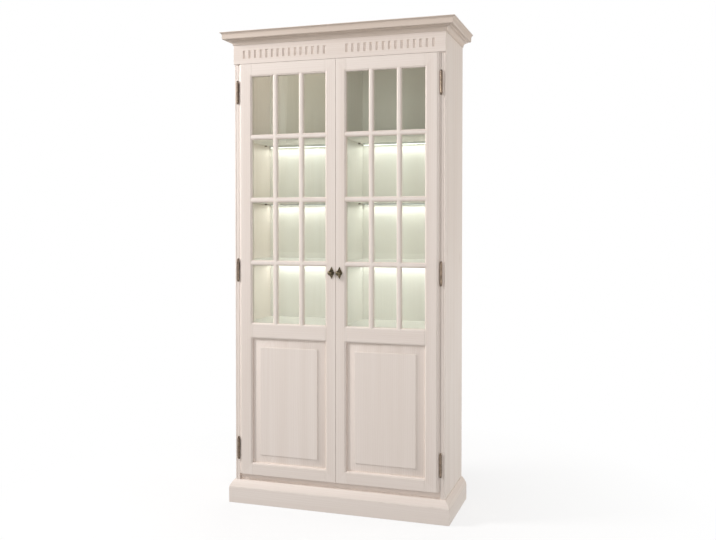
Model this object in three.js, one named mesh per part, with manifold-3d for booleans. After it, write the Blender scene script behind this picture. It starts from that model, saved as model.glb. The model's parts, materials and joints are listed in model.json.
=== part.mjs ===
// A tall two-door display cabinet in white-washed pine: glazed doors over wooden panels, a moulded
// cornice over a fluted frieze, and a moulded plinth. Millimetres, +Z up, and the front faces -Y.
// The origin is on the floor, under the middle of the overall box.

import * as THREE from "three";
import { mergeVertices } from "three/addons/utils/BufferGeometryUtils.js";
import Module from "manifold-3d";

const wasm = await Module();
wasm.setup();

// Overall sizes
const overallHeight = 2050;
const carcassWidth = 940;
const carcassDepth = 345;
const curveSteps = 6; // straight stretches in a rounded edge or in one curve of a moulding

// Clearances
const fitGap = 0.3; // between pieces that are glued or screwed together
const swingGap = 1; // between a door and the side panel
const meetingGap = 0.8; // from a door to the middle of the cabinet
const doorEndGap = 1.2; // above and below a door
const closeGap = 2; // behind a closed door
const passBy = 1; // how far a cutter runs past the face that it opens

// Boards of the carcass
const sideThickness = 20;
const cornerBead = 4; // radius of the bead down the side panel's front outer edge
const beadGroove = 1.5; // width of the groove on each side of the bead
const grooveDepth = 2.5;
const partitionThickness = 20;
const floorThickness = 20;
const topThickness = 18;
const backThickness = 8;
const backRebate = 10; // how far the back panel laps onto each side panel
const bottomThickness = 30;
const bottomRise = 27; // from the plinth's top to the bottom board's top
const bottomSetback = 14; // from the side panels' front edges to the bottom board's face
const cornicePost = 10; // from the top down to the top of the side panels and the frieze

// Shelves
const shelfThickness = 20;
const shelfSetback = 14; // from the partition's front edge
const shelfEndGap = 1;
const baseShelfThickness = 18;

// Plinth: a flat board, a narrow groove and a softly swelling slope on top
const plinthHeight = 98;
const plinthBoard = 67;
const plinthProjection = 22;
const plinthGroove = 1.2; // width and depth of the groove
const plinthLedge = 3; // flat left on the slope's top edge
const plinthSwell = 0.3; // 0 is a straight slope, 1 a quarter of an ellipse

// Frieze and its flutes
const friezeHeight = 82;
const friezeThickness = 20;
const flutePitch = 26.5;
const fluteWidth = 11.5;
const fluteDepth = 5;
const fluteHeight = 34;
const fluteSegments = 16; // straight stretches in the full circle of a flute's cutter
const fluteRise = 23; // from the frieze's lower edge to the flutes
const fluteMargin = 44; // free of flutes on each side of the middle
const fluteEndMargin = 44; // free of flutes at each end of the frieze

// Cornice, from the top: a square edge, a shallow cove, a round-bottomed band and a deeper cove
const corniceHeight = 52;
const corniceProjection = 46;
const corniceEdge = 3;
const crownHeight = 12; // of the shallow cove
const bandHeight = 16;
const bandProjection = 38;
const bandRadius = 5; // of its rounded lower edge
const coveProjection = 23; // at the fillet over the deeper cove
const corniceFillet = 3;

// Doors
const doorThickness = 22;
const doorProud = 8; // the door's face stands in front of the side panels, level with the frieze
const edgeMouldWidth = 14; // moulded edge beside the hinges
const edgeStep = 1.2; // depth of the step where that moulding starts
const edgeLip = 4; // flat lip between that moulding and the door's edge
const stileFlat = 43;
const lockStileFlat = 39;
const topRailFlat = 49;
const middleRailFlat = 55;
const bottomRailFlat = 46;
const middleRailTop = 785;

// Moulding round each opening of a door, and the bars between the panes
const stickWidth = 7;
const stickQuirk = 1;
const stickRound = 5.5;
const stickSteps = 5;
const barWidth = 22; // over its two mouldings
const barSetback = 0.6;
const paneColumns = 3;
const paneRows = 4;

// Glass
const glassThickness = 3;
const glassDepth = 14; // from the door's face to the glass
const glassRebate = 8;

// Lower panel of a door: a raised field, a step, a bevel and a tongue
const panelBevel = 37;
const panelSetback = 1.5;
const panelStep = 2;
const bevelEnd = 1.5; // flat left between the bevel and the frame
const tongueDepth = 12.5; // from the door's face to the tongue
const tongueThickness = 5.7;
const tongueLength = 8;

// Mortise and tenon joints
const tenonLength = 28;
const tenonThickness = 7;
const tenonDepth = 6.5; // from the door's face to the tenon
const tenonShoulder = 14;

// Hinges: two knuckles on a pin, each knuckle with its own leaf
const hingeRadius = 5.5;
const hingeInset = 2; // from the side panel's inner face to the pin
const hingeForward = 7; // from the side panel's front edge to the pin
const knuckleLength = 43;
const knuckleGap = 0.5;
const finialLength = 8;
const pinRadius = 2.5;
const pinBore = 3.1;
const pinLength = 30;
const leafThickness = 1.2;
const leafHeight = 36;
const frameLeafDepth = 20;
const doorLeafDepth = 11;
const hingeFromTop = 121; // from the door's top to the middle of its top hinge
const hingeFromBottom = 113;
const finialRings = [
  [0.55, 0.1],
  [0.95, 0.4],
  [0.65, 0.8],
]; // shares of the barrel's radius and of the finial's length
const hingeSides = 20;

// Knobs
const knobFromEdge = 17;
const knobHeight = 1016;
const knobRadius = 11;
const knobReach = 27;
const footRadius = 7;
const neckRadius = 5;
const neckTaper = 1;
const neckStart = 3; // height of the foot over the plate
const knobRings = [
  [0.75, 0.95],
  [1, 0.5],
  [0.85, 0.15],
  [0.4, 0],
]; // shares of the knob's radius: how wide, and how far below the top
const knobDepth = 1.3; // the whole head, as such a share
const plateWidth = 26;
const plateHeight = 52;
const plateThickness = 2.5;
const knobSides = 24;

// Light bars under the shelves
const barLightWidth = 17;
const barLightHeight = 8;
const barLightWall = 2.5;
const barLightFromBack = 14;
const barLightEnd = 12;

// Double magnetic catch on the back of the frieze
const catchWidth = 60;
const catchDepth = 20;
const catchHeight = 22;
const catchPlateHeight = 28;
const catchPlateThickness = 3;

// Places that follow from the sizes
const halfWidth = carcassWidth / 2;
const innerX = halfWidth - sideThickness;
const corniceReach = doorProud + fitGap + corniceProjection; // in front of the side panels
const overallDepth = carcassDepth + corniceReach;
const frontY = corniceReach - overallDepth / 2;
const backY = frontY + carcassDepth;
const faceY = frontY - doorProud;
const doorBackY = faceY + doorThickness;
const innerFrontY = doorBackY + closeGap;
const innerBackY = backY - backThickness;
const corniceBottom = overallHeight - corniceHeight;
const friezeBottom = corniceBottom - friezeHeight;
const sideTop = overallHeight - cornicePost;
const topBoardTop = corniceBottom - fitGap;
const topBoardBottom = topBoardTop - topThickness;
const bottomBoardTop = plinthHeight + bottomRise;
const doorBottom = bottomBoardTop + doorEndGap;
const doorTop = friezeBottom - doorEndGap;
const catchFrontY = doorBackY + fitGap;
const catchTop = friezeBottom + catchPlateThickness;

const hingeEdgeX = innerX - swingGap;
const lockEdgeX = meetingGap;
const hingeStileX = hingeEdgeX - edgeMouldWidth - stileFlat - stickWidth;
const lockStileX = lockEdgeX + lockStileFlat + stickWidth;
const glassBottom = middleRailTop + stickWidth;
const glassTop = doorTop - topRailFlat - stickWidth;
const panelTop = middleRailTop - middleRailFlat - stickWidth;
const panelBottom = doorBottom + bottomRailFlat + stickWidth;
const paneWidth = (hingeStileX - lockStileX - (paneColumns - 1) * barWidth) / paneColumns;
const paneHeight = (glassTop - glassBottom - (paneRows - 1) * barWidth) / paneRows;
const middleFloorTop = middleRailTop;
const middleFloorBottom = middleFloorTop - floorThickness;
const hingeX = innerX + hingeInset;
const hingeY = frontY - hingeForward;
const hingeHeights = {
  top: doorTop - hingeFromTop,
  middle: (doorTop + doorBottom) / 2,
  bottom: doorBottom + hingeFromBottom,
};

// Materials
const paint = (color, roughness, metalness = 0) =>
  new THREE.MeshStandardMaterial({ color, roughness, metalness });
const whitePine = paint(0xe4dad0, 0.55);
const whiteInside = paint(0xe9e6da, 0.6);
const bronze = paint(0x6b5a4c, 0.4, 0.9);
const darkBronze = paint(0x4a4034, 0.4, 0.9);
const aluminium = paint(0xc9ccd0, 0.35, 1);
const catchPlastic = paint(0xe8e6e2, 0.5);
const clearGlass = new THREE.MeshStandardMaterial({
  color: 0xdfe8e4,
  roughness: 0.05,
  transparent: true,
  opacity: 0.3,
});

// Solids
function toSolid(geometry) {
  const bare = geometry.clone();
  bare.deleteAttribute("normal");
  bare.deleteAttribute("uv");
  const merged = mergeVertices(bare, 1e-4);
  return new wasm.Manifold(
    new wasm.Mesh({
      numProp: 3,
      vertProperties: merged.getAttribute("position").array,
      triVerts: new Uint32Array(merged.index.array),
    }),
  );
}

function toGeometry(solid) {
  const mesh = solid.getMesh();
  const geometry = new THREE.BufferGeometry();
  geometry.setAttribute("position", new THREE.BufferAttribute(mesh.vertProperties, 3));
  geometry.setIndex(new THREE.BufferAttribute(mesh.triVerts, 1));
  return geometry;
}

function cut(geometry, cutters) {
  const solid = cutters.reduce((left, cutter) => left.subtract(toSolid(cutter)), toSolid(geometry));
  return toGeometry(solid);
}

function joined(geometries) {
  const [first, ...rest] = geometries.map(toSolid);
  return toGeometry(rest.reduce((sum, solid) => sum.add(solid), first));
}

function common(a, b) {
  return toGeometry(toSolid(a).intersect(toSolid(b)));
}

// A block between two values on each axis.
function block(x, y, z) {
  const geometry = new THREE.BoxGeometry(x[1] - x[0], y[1] - y[0], z[1] - z[0]);
  return geometry.translate((x[0] + x[1]) / 2, (y[0] + y[1]) / 2, (z[0] + z[1]) / 2);
}

// A shape drawn in plan (x, y), standing from one height to another.
function standing(shape, z, curveSegments = curveSteps) {
  const depth = z[1] - z[0];
  const geometry = new THREE.ExtrudeGeometry(shape, { depth, curveSegments, bevelEnabled: false });
  return geometry.translate(0, 0, z[0]);
}

// A shape drawn in side view (y, z), running along X.
function runningX(shape, x) {
  const geometry = new THREE.ExtrudeGeometry(shape, { depth: x[1] - x[0], bevelEnabled: false });
  const turn = new THREE.Matrix4().makeBasis(
    new THREE.Vector3(0, 1, 0),
    new THREE.Vector3(0, 0, 1),
    new THREE.Vector3(1, 0, 0),
  );
  return geometry.applyMatrix4(turn).translate(x[0], 0, 0);
}

// A shape drawn in side view (x, z), running back along Y.
function runningY(shape, y) {
  const geometry = new THREE.ExtrudeGeometry(shape, { depth: y[1] - y[0], bevelEnabled: false });
  return geometry.rotateX(Math.PI / 2).translate(0, y[1], 0);
}

// A closed outline through points.
function outline(points) {
  return new THREE.Shape(points.map(([x, y]) => new THREE.Vector2(x, y)));
}

// A round piece turned on a vertical axis, from [radius, height] points.
function turned(points, sides) {
  const profile = points.map(([radius, level]) => new THREE.Vector2(radius, level));
  return new THREE.LatheGeometry(profile, sides).rotateX(Math.PI / 2);
}

// A solid through rectangles of one frame, each { y, x: [low, high], z: [low, high] }, front first.
function throughRectangles(rings) {
  const positions = rings.flatMap(({ x, y, z }) => [
    [x[0], y, z[0]],
    [x[1], y, z[0]],
    [x[1], y, z[1]],
    [x[0], y, z[1]],
  ]);
  const index = [0, 1, 2, 0, 2, 3];
  for (let ring = 0; ring < rings.length - 1; ring += 1) {
    for (let side = 0; side < 4; side += 1) {
      const a = ring * 4 + side;
      const b = ring * 4 + ((side + 1) % 4);
      index.push(a, a + 4, b + 4, a, b + 4, b);
    }
  }
  const last = (rings.length - 1) * 4;
  index.push(last, last + 2, last + 1, last, last + 3, last + 2);
  const geometry = new THREE.BufferGeometry();
  geometry.setAttribute("position", new THREE.Float32BufferAttribute(positions.flat(), 3));
  return geometry.setIndex(index);
}

// The same piece on the other side of the cabinet.
function mirrored(geometry) {
  const flipped = geometry.index ? geometry.toNonIndexed() : geometry.clone();
  flipped.scale(-1, 1, 1);
  const { array } = flipped.getAttribute("position");
  for (let i = 0; i < array.length; i += 9) {
    for (let axis = 0; axis < 3; axis += 1) {
      [array[i + 3 + axis], array[i + 6 + axis]] = [array[i + 6 + axis], array[i + 3 + axis]];
    }
  }
  return flipped;
}

const sides = { left: mirrored, right: (geometry) => geometry.clone() };

// Grows or shrinks an interval at both ends.
const widen = ([low, high], by) => [low - by, high + by];

function addPiece(group, name, geometry, material) {
  const mesh = new THREE.Mesh(geometry, material);
  mesh.name = name;
  group.add(mesh);
}

// Adds a piece of the right side and its mirror image on the left.
function addPair(group, nameFor, geometry, material) {
  for (const [side, place] of Object.entries(sides)) {
    addPiece(group, nameFor(side), place(geometry), material);
  }
}

// Carcass

// A side panel, with a bead between two grooves down its front outer edge.
function sidePanel() {
  const rebateY = innerBackY - fitGap;
  const rebateX = innerX + backRebate;
  const beadEnd = 2 * cornerBead + beadGroove;
  const beadX = halfWidth - cornerBead;
  const beadY = frontY + cornerBead;
  const shown = (cornerBead - grooveDepth) / cornerBead;
  const startAngle = Math.PI + Math.asin(shown);
  const endAngle = 2 * Math.PI + Math.acos(shown);
  const plan = new THREE.Shape();
  plan.moveTo(innerX, frontY);
  plan.lineTo(halfWidth - beadEnd, frontY);
  plan.absarc(beadX, beadY, cornerBead, startAngle, endAngle, false);
  plan.lineTo(halfWidth, frontY + beadEnd);
  plan.lineTo(halfWidth, backY);
  plan.lineTo(rebateX, backY);
  plan.lineTo(rebateX, rebateY);
  plan.lineTo(innerX, rebateY);
  const leafSlots = Object.values(hingeHeights).map((height) =>
    block(
      [innerX - passBy, innerX + leafThickness + 2 * fitGap],
      [frontY - passBy, frontY + frameLeafDepth + fitGap],
      [height - knuckleGap - leafHeight - fitGap, height - knuckleGap + fitGap],
    ),
  );
  return cut(standing(plan, [0, sideTop]), leafSlots);
}

function backPanel() {
  const reach = innerX + backRebate - fitGap;
  return block([-reach, reach], [innerBackY, backY], [plinthHeight, sideTop]);
}

function topBoard() {
  const reach = innerX - fitGap;
  const y = [faceY + friezeThickness + fitGap, innerBackY - fitGap];
  return block([-reach, reach], y, [topBoardBottom, topBoardTop]);
}

// The bottom board, with a lip at the plinth's height that closes the gap behind the plinth.
function bottomBoard() {
  const reach = innerX - fitGap;
  const underside = bottomBoardTop - bottomThickness;
  const boardFront = frontY + bottomSetback;
  const section = outline([
    [frontY, underside],
    [innerBackY - fitGap, underside],
    [innerBackY - fitGap, bottomBoardTop],
    [boardFront, bottomBoardTop],
    [boardFront, plinthHeight],
    [frontY, plinthHeight],
  ]);
  return runningX(section, [-reach, reach]);
}

function bayBoard(frontEdgeY, z, endGap) {
  const x = [partitionThickness / 2 + endGap, innerX - endGap];
  return block(x, [frontEdgeY, innerBackY - fitGap], z);
}

// The partition, notched at its front top corner for the catch.
function partition() {
  const x = [-partitionThickness / 2, partitionThickness / 2];
  const z = [bottomBoardTop + fitGap, topBoardBottom - fitGap];
  const notch = block(
    widen(x, passBy),
    [innerFrontY - passBy, catchFrontY + catchDepth + fitGap],
    [catchTop - catchHeight - fitGap, topBoardBottom],
  );
  return cut(block(x, [innerFrontY, innerBackY - fitGap], z), [notch]);
}

// Middles of the flutes on one half of the frieze.
function fluteCentres() {
  const first = fluteMargin + fluteWidth / 2;
  const last = halfWidth - fluteEndMargin - fluteWidth / 2;
  const count = Math.round((last - first) / flutePitch) + 1;
  const pitch = (last - first) / (count - 1);
  return Array.from({ length: count }, (unused, i) => first + i * pitch);
}

function flute(x) {
  const radius = (fluteDepth * fluteDepth + (fluteWidth / 2) ** 2) / (2 * fluteDepth);
  const section = new THREE.Shape();
  section.absarc(x, faceY + fluteDepth - radius, radius, 0, Math.PI * 2, false);
  const z = [friezeBottom + fluteRise, friezeBottom + fluteRise + fluteHeight];
  return standing(section, z, fluteSegments);
}

function friezeBoard() {
  const innerReach = innerX - fitGap;
  const lapY = frontY - fitGap;
  const rearY = faceY + friezeThickness;
  const plan = outline([
    [-halfWidth, faceY],
    [halfWidth, faceY],
    [halfWidth, lapY],
    [innerReach, lapY],
    [innerReach, rearY],
    [-innerReach, rearY],
    [-innerReach, lapY],
    [-halfWidth, lapY],
  ]);
  const centres = fluteCentres();
  const flutes = [...centres.map((x) => flute(-x)), ...centres.map(flute)];
  return cut(standing(plan, [friezeBottom, sideTop]), flutes);
}

// A quarter of an ellipse from one point up to the next, which it reaches last. It leaves either
// straight up or straight out.
function quarterCurve([out, z], [nextOut, nextZ], leavesUpright) {
  const points = [];
  for (let step = 1; step <= curveSteps; step += 1) {
    const angle = (step / curveSteps) * (Math.PI / 2);
    const slow = 1 - Math.cos(angle);
    const fast = Math.sin(angle);
    points.push([
      out + (nextOut - out) * (leavesUpright ? slow : fast),
      z + (nextZ - z) * (leavesUpright ? fast : slow),
    ]);
  }
  return points;
}

// Moulding profiles are drawn outwards from the wall, so the first value is the projection.
function cornicePoints() {
  const edgeBottom = overallHeight - corniceEdge;
  const bandTop = edgeBottom - crownHeight;
  const bandBottom = bandTop - bandHeight;
  const coveStart = [corniceFillet, corniceBottom + corniceFillet];
  const coveEnd = [coveProjection - corniceFillet, bandBottom - corniceFillet];
  const bandStart = [bandProjection - bandRadius, bandBottom];
  return [
    [0, corniceBottom],
    [corniceFillet, corniceBottom],
    coveStart,
    ...quarterCurve(coveStart, coveEnd, true),
    [coveProjection, bandBottom - corniceFillet],
    [coveProjection, bandBottom],
    bandStart,
    ...quarterCurve(bandStart, [bandProjection, bandBottom + bandRadius], false),
    [bandProjection, bandTop],
    ...quarterCurve([bandProjection, bandTop], [corniceProjection, edgeBottom], true),
    [corniceProjection, overallHeight],
    [0, overallHeight],
  ];
}

function plinthPoints() {
  const slopeBottom = plinthBoard + plinthGroove;
  const slopeHeight = plinthHeight - slopeBottom;
  const slopeOut = plinthProjection - plinthLedge;
  const points = [
    [0, 0],
    [plinthProjection, 0],
    [plinthProjection, plinthBoard],
    [plinthProjection - plinthGroove, plinthBoard],
    [plinthProjection - plinthGroove, slopeBottom],
  ];
  for (let step = 0; step <= curveSteps; step += 1) {
    const share = step / curveSteps;
    const angle = share * (Math.PI / 2);
    const inward = (1 - plinthSwell) * (1 - share) + plinthSwell * Math.cos(angle);
    const upward = (1 - plinthSwell) * share + plinthSwell * Math.sin(angle);
    points.push([plinthLedge + slopeOut * inward, slopeBottom + slopeHeight * upward]);
  }
  points.push([0, plinthHeight]);
  return points;
}

// A moulding along the front, mitred at both ends.
function frontMoulding(points, projection, wallY) {
  const section = outline(points.map(([out, z]) => [wallY - fitGap - out, z]));
  const past = fitGap + projection + passBy;
  const reach = halfWidth + past;
  const plan = outline([
    [-halfWidth, wallY],
    [-reach, wallY - past],
    [reach, wallY - past],
    [halfWidth, wallY],
  ]);
  return common(runningX(section, [-reach, reach]), standing(plan, [-passBy, overallHeight + passBy]));
}

// The moulding along the right side, mitred at its front end.
function sideMoulding(points, projection, wallY) {
  const section = outline(points.map(([out, z]) => [halfWidth + fitGap + out, z]));
  const reach = halfWidth + projection + passBy;
  const mitreY = wallY + fitGap * 2;
  const plan = outline([
    [halfWidth, mitreY],
    [reach, mitreY - projection - passBy],
    [reach, backY],
    [halfWidth, backY],
  ]);
  const run = runningY(section, [wallY - projection, backY]);
  return common(run, standing(plan, [-passBy, overallHeight + passBy]));
}

function lightBar(shelfBottom) {
  const top = shelfBottom - fitGap;
  const bottom = top - barLightHeight;
  const rear = innerBackY - barLightFromBack;
  const front = rear - barLightWidth;
  const section = outline([
    [front, bottom],
    [front + barLightWall, bottom],
    [front + barLightWall, top - barLightWall],
    [rear - barLightWall, top - barLightWall],
    [rear - barLightWall, bottom],
    [rear, bottom],
    [rear, top],
    [front, top],
  ]);
  const x = [partitionThickness / 2 + barLightEnd, innerX - barLightEnd];
  return runningX(section, x);
}

function magneticCatch() {
  const plateFront = faceY + friezeThickness + fitGap;
  const plateTop = friezeBottom + catchPlateHeight;
  const section = outline([
    [plateFront, catchTop],
    [plateFront, plateTop],
    [catchFrontY + catchPlateThickness, plateTop],
    [catchFrontY + catchPlateThickness, catchTop],
    [catchFrontY + catchDepth, catchTop],
    [catchFrontY + catchDepth, catchTop - catchHeight],
    [catchFrontY, catchTop - catchHeight],
    [catchFrontY, catchTop],
  ]);
  return runningX(section, [-catchWidth / 2, catchWidth / 2]);
}

// Doors, drawn for the right side
const sightX = [lockStileX, hingeStileX];
const glassSightZ = [glassBottom, glassTop];
const panelSightZ = [panelBottom, panelTop];

// The moulded mouth of an opening, as rectangles from in front of the face down to the straight part.
function mouthRings(x, z, startY, shrink) {
  const ring = (offset, y) => ({ x: widen(x, offset - shrink), z: widen(z, offset - shrink), y });
  const rings = [ring(stickWidth, startY), ring(stickWidth, faceY + stickQuirk)];
  for (let step = 1; step <= stickSteps; step += 1) {
    const angle = (step / stickSteps) * (Math.PI / 2);
    const offset = stickWidth * (1 - Math.sin(angle));
    rings.push(ring(offset, faceY + stickQuirk + stickRound * (1 - Math.cos(angle))));
  }
  return rings;
}

// The hole through a door, with its moulded mouth.
function openingCutter(x, z) {
  return throughRectangles([...mouthRings(x, z, faceY - passBy, 0), { x, z, y: doorBackY + passBy }]);
}

function glassPocket() {
  const x = widen(sightX, glassRebate);
  const y = [faceY + glassDepth - fitGap, doorBackY + passBy];
  return block(x, y, widen(glassSightZ, glassRebate));
}

function panelGroove() {
  const y = [faceY + tongueDepth - fitGap, faceY + tongueDepth + tongueThickness + fitGap];
  return block(widen(sightX, tongueLength), y, widen(panelSightZ, tongueLength));
}

const frameCutters = () => [
  openingCutter(sightX, glassSightZ),
  openingCutter(sightX, panelSightZ),
  glassPocket(),
  panelGroove(),
];

const rails = {
  top_rail: [glassTop, doorTop],
  middle_rail: [panelTop, glassBottom],
  bottom_rail: [doorBottom, panelBottom],
};

function tenon(x, z, ease) {
  const y = [faceY + tenonDepth - ease, faceY + tenonDepth + tenonThickness + ease];
  return block(x, y, widen(z, ease - tenonShoulder));
}

function mortises(x) {
  return Object.values(rails).map((z) => tenon(x, z, fitGap));
}

function hingeStile() {
  const faceEdge = hingeEdgeX - edgeMouldWidth;
  const lipX = hingeEdgeX - edgeLip;
  const stepY = faceY + edgeStep;
  const plan = new THREE.Shape();
  plan.moveTo(hingeStileX, faceY);
  plan.lineTo(faceEdge, faceY);
  plan.lineTo(faceEdge, stepY);
  plan.quadraticCurveTo(lipX, stepY, lipX, frontY);
  plan.lineTo(hingeEdgeX, frontY);
  plan.lineTo(hingeEdgeX, doorBackY);
  plan.lineTo(hingeStileX, doorBackY);
  const leafSlots = Object.values(hingeHeights).map((height) =>
    block(
      [hingeEdgeX - leafThickness - 2 * fitGap, hingeEdgeX + passBy],
      [frontY - passBy, frontY + doorLeafDepth + fitGap],
      [height + knuckleGap - fitGap, height + knuckleGap + leafHeight + fitGap],
    ),
  );
  const ends = [hingeStileX - passBy, hingeStileX + tenonLength + fitGap];
  const stile = standing(plan, [doorBottom, doorTop]);
  return cut(stile, [...frameCutters(), ...leafSlots, ...mortises(ends)]);
}

function lockStile() {
  const ends = [lockStileX - tenonLength - fitGap, lockStileX + passBy];
  const stile = block([lockEdgeX, lockStileX], [faceY, doorBackY], [doorBottom, doorTop]);
  return cut(stile, [...frameCutters(), ...mortises(ends)]);
}

function rail(z) {
  const bar = block(widen(sightX, -fitGap), [faceY, doorBackY], z);
  return joined([cut(bar, frameCutters()), tenon(widen(sightX, tenonLength), z, 0)]);
}

function glazingBars() {
  const startY = faceY + barSetback;
  const endY = faceY + glassDepth - 2 * fitGap;
  const plug = throughRectangles([
    ...mouthRings(sightX, glassSightZ, startY, fitGap),
    { x: widen(sightX, -fitGap), z: widen(glassSightZ, -fitGap), y: endY },
  ]);
  const panes = [];
  for (let column = 0; column < paneColumns; column += 1) {
    for (let row = 0; row < paneRows; row += 1) {
      const x = sightX[0] + column * (paneWidth + barWidth);
      const z = glassSightZ[0] + row * (paneHeight + barWidth);
      panes.push(openingCutter([x, x + paneWidth], [z, z + paneHeight]));
    }
  }
  return cut(plug, panes);
}

function glassPane() {
  const reach = glassRebate - fitGap;
  const y = [faceY + glassDepth, faceY + glassDepth + glassThickness];
  return block(widen(sightX, reach), y, widen(glassSightZ, reach));
}

function lowerPanel() {
  const ring = (offset, depth) => ({
    x: widen(sightX, offset),
    z: widen(panelSightZ, offset),
    y: faceY + depth,
  });
  return throughRectangles([
    ring(-panelBevel, panelSetback),
    ring(-panelBevel, panelSetback + panelStep),
    ring(-bevelEnd, tongueDepth),
    ring(tongueLength - fitGap, tongueDepth),
    ring(tongueLength - fitGap, tongueDepth + tongueThickness),
  ]);
}

// A knob on a diamond-shaped plate.
function knob() {
  const profile = [
    [0, 0],
    [footRadius, 0],
    [neckRadius, plateThickness + neckStart],
    [neckRadius - neckTaper, knobReach - knobRadius * knobDepth],
    ...knobRings.map(([wide, down]) => [knobRadius * wide, knobReach - knobRadius * down]),
    [0, knobReach],
  ];
  const handle = turned(profile, knobSides).rotateX(Math.PI / 2);
  const diamond = outline([
    [0, -plateHeight / 2],
    [plateWidth / 2, 0],
    [0, plateHeight / 2],
    [-plateWidth / 2, 0],
  ]);
  const plate = runningY(diamond, [-plateThickness, 0]);
  const x = lockEdgeX + knobFromEdge;
  return joined([plate, handle]).translate(x, faceY - fitGap, knobHeight);
}

// Hinges, drawn for the right side, about the pin and the middle of their height
const finialPoints = (end, tip) => [
  ...finialRings.map(([wide, along]) => [hingeRadius * wide, end + (tip - end) * along]),
  [0, tip],
];

// The knuckle on the carcass, with its pin and leaf.
function frameHinge(height) {
  const end = -knuckleGap - knuckleLength;
  const knuckle = turned(
    [
      ...finialPoints(end, end - finialLength).reverse(),
      [hingeRadius, end],
      [hingeRadius, -knuckleGap],
      [pinRadius, -knuckleGap],
      [pinRadius, pinLength],
      [0, pinLength],
    ],
    hingeSides,
  );
  const leafX = innerX + fitGap - hingeX;
  const leaf = block(
    [leafX, leafX + leafThickness],
    [0, hingeForward + frameLeafDepth],
    [-knuckleGap - leafHeight, -knuckleGap],
  );
  return joined([knuckle, leaf]).translate(hingeX, hingeY, height);
}

// The knuckle on the door, bored for the pin, with its leaf.
function doorHinge(height) {
  const end = knuckleGap + knuckleLength;
  const knuckle = turned(
    [
      [0, pinLength + passBy],
      [pinBore, pinLength + passBy],
      [pinBore, knuckleGap],
      [hingeRadius, knuckleGap],
      [hingeRadius, end],
      ...finialPoints(end, end + finialLength),
    ],
    hingeSides,
  );
  const leafX = hingeEdgeX - fitGap - hingeX;
  const leaf = block(
    [leafX - leafThickness, leafX],
    [0, hingeForward + doorLeafDepth],
    [knuckleGap, knuckleGap + leafHeight],
  );
  return joined([knuckle, leaf]).translate(hingeX, hingeY, height);
}

// Assembly
const cabinet = new THREE.Group();
const carcass = new THREE.Group();
const interior = new THREE.Group();
const doors = new THREE.Group();
cabinet.add(carcass, interior, doors);

addPair(carcass, (side) => `side_panel_${side}`, sidePanel(), whitePine);
addPiece(carcass, "back_panel", backPanel(), whiteInside);
addPiece(carcass, "top_board", topBoard(), whitePine);
addPiece(carcass, "bottom_board", bottomBoard(), whitePine);
addPiece(carcass, "frieze_board", friezeBoard(), whitePine);
addPiece(
  carcass,
  "cornice_front",
  frontMoulding(cornicePoints(), corniceProjection, faceY),
  whitePine,
);
addPair(
  carcass,
  (side) => `cornice_${side}`,
  sideMoulding(cornicePoints(), corniceProjection, faceY),
  whitePine,
);
addPiece(
  carcass,
  "plinth_front",
  frontMoulding(plinthPoints(), plinthProjection, frontY),
  whitePine,
);
addPair(
  carcass,
  (side) => `plinth_${side}`,
  sideMoulding(plinthPoints(), plinthProjection, frontY),
  whitePine,
);

addPiece(interior, "centre_partition", partition(), whiteInside);
addPair(
  interior,
  (side) => `middle_floor_${side}`,
  bayBoard(innerFrontY, [middleFloorBottom, middleFloorTop], fitGap),
  whiteInside,
);
const shelfFrontY = innerFrontY + shelfSetback;
for (const [level, row] of Object.entries({ low: 1, middle: 2, top: 3 })) {
  const barMiddle = glassBottom + row * (paneHeight + barWidth) - barWidth / 2;
  const shelfZ = [barMiddle - shelfThickness / 2, barMiddle + shelfThickness / 2];
  const shelf = bayBoard(shelfFrontY, shelfZ, shelfEndGap);
  addPair(interior, (side) => `shelf_${side}_${level}`, shelf, whiteInside);
  addPair(interior, (side) => `light_bar_${side}_${level}`, lightBar(shelfZ[0]), aluminium);
}
const baseMiddle = (bottomBoardTop + middleFloorBottom) / 2;
const baseShelfZ = [baseMiddle - baseShelfThickness / 2, baseMiddle + baseShelfThickness / 2];
addPair(
  interior,
  (side) => `base_shelf_${side}`,
  bayBoard(shelfFrontY, baseShelfZ, shelfEndGap),
  whiteInside,
);
addPiece(interior, "magnetic_catch", magneticCatch(), catchPlastic);

addPair(doors, (side) => `door_${side}_hinge_stile`, hingeStile(), whitePine);
addPair(doors, (side) => `door_${side}_lock_stile`, lockStile(), whitePine);
for (const [name, z] of Object.entries(rails)) {
  addPair(doors, (side) => `door_${side}_${name}`, rail(z), whitePine);
}
addPair(doors, (side) => `door_${side}_glazing_bars`, glazingBars(), whitePine);
addPair(doors, (side) => `door_${side}_glass`, glassPane(), clearGlass);
addPair(doors, (side) => `door_${side}_lower_panel`, lowerPanel(), whitePine);
addPair(doors, (side) => `door_${side}_knob`, knob(), darkBronze);
for (const [level, height] of Object.entries(hingeHeights)) {
  addPair(doors, (side) => `hinge_frame_${side}_${level}`, frameHinge(height), bronze);
  addPair(doors, (side) => `hinge_door_${side}_${level}`, doorHinge(height), bronze);
}

export default cabinet;
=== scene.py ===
import json
import math
import bpy
from mathutils import Matrix, Vector

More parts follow.
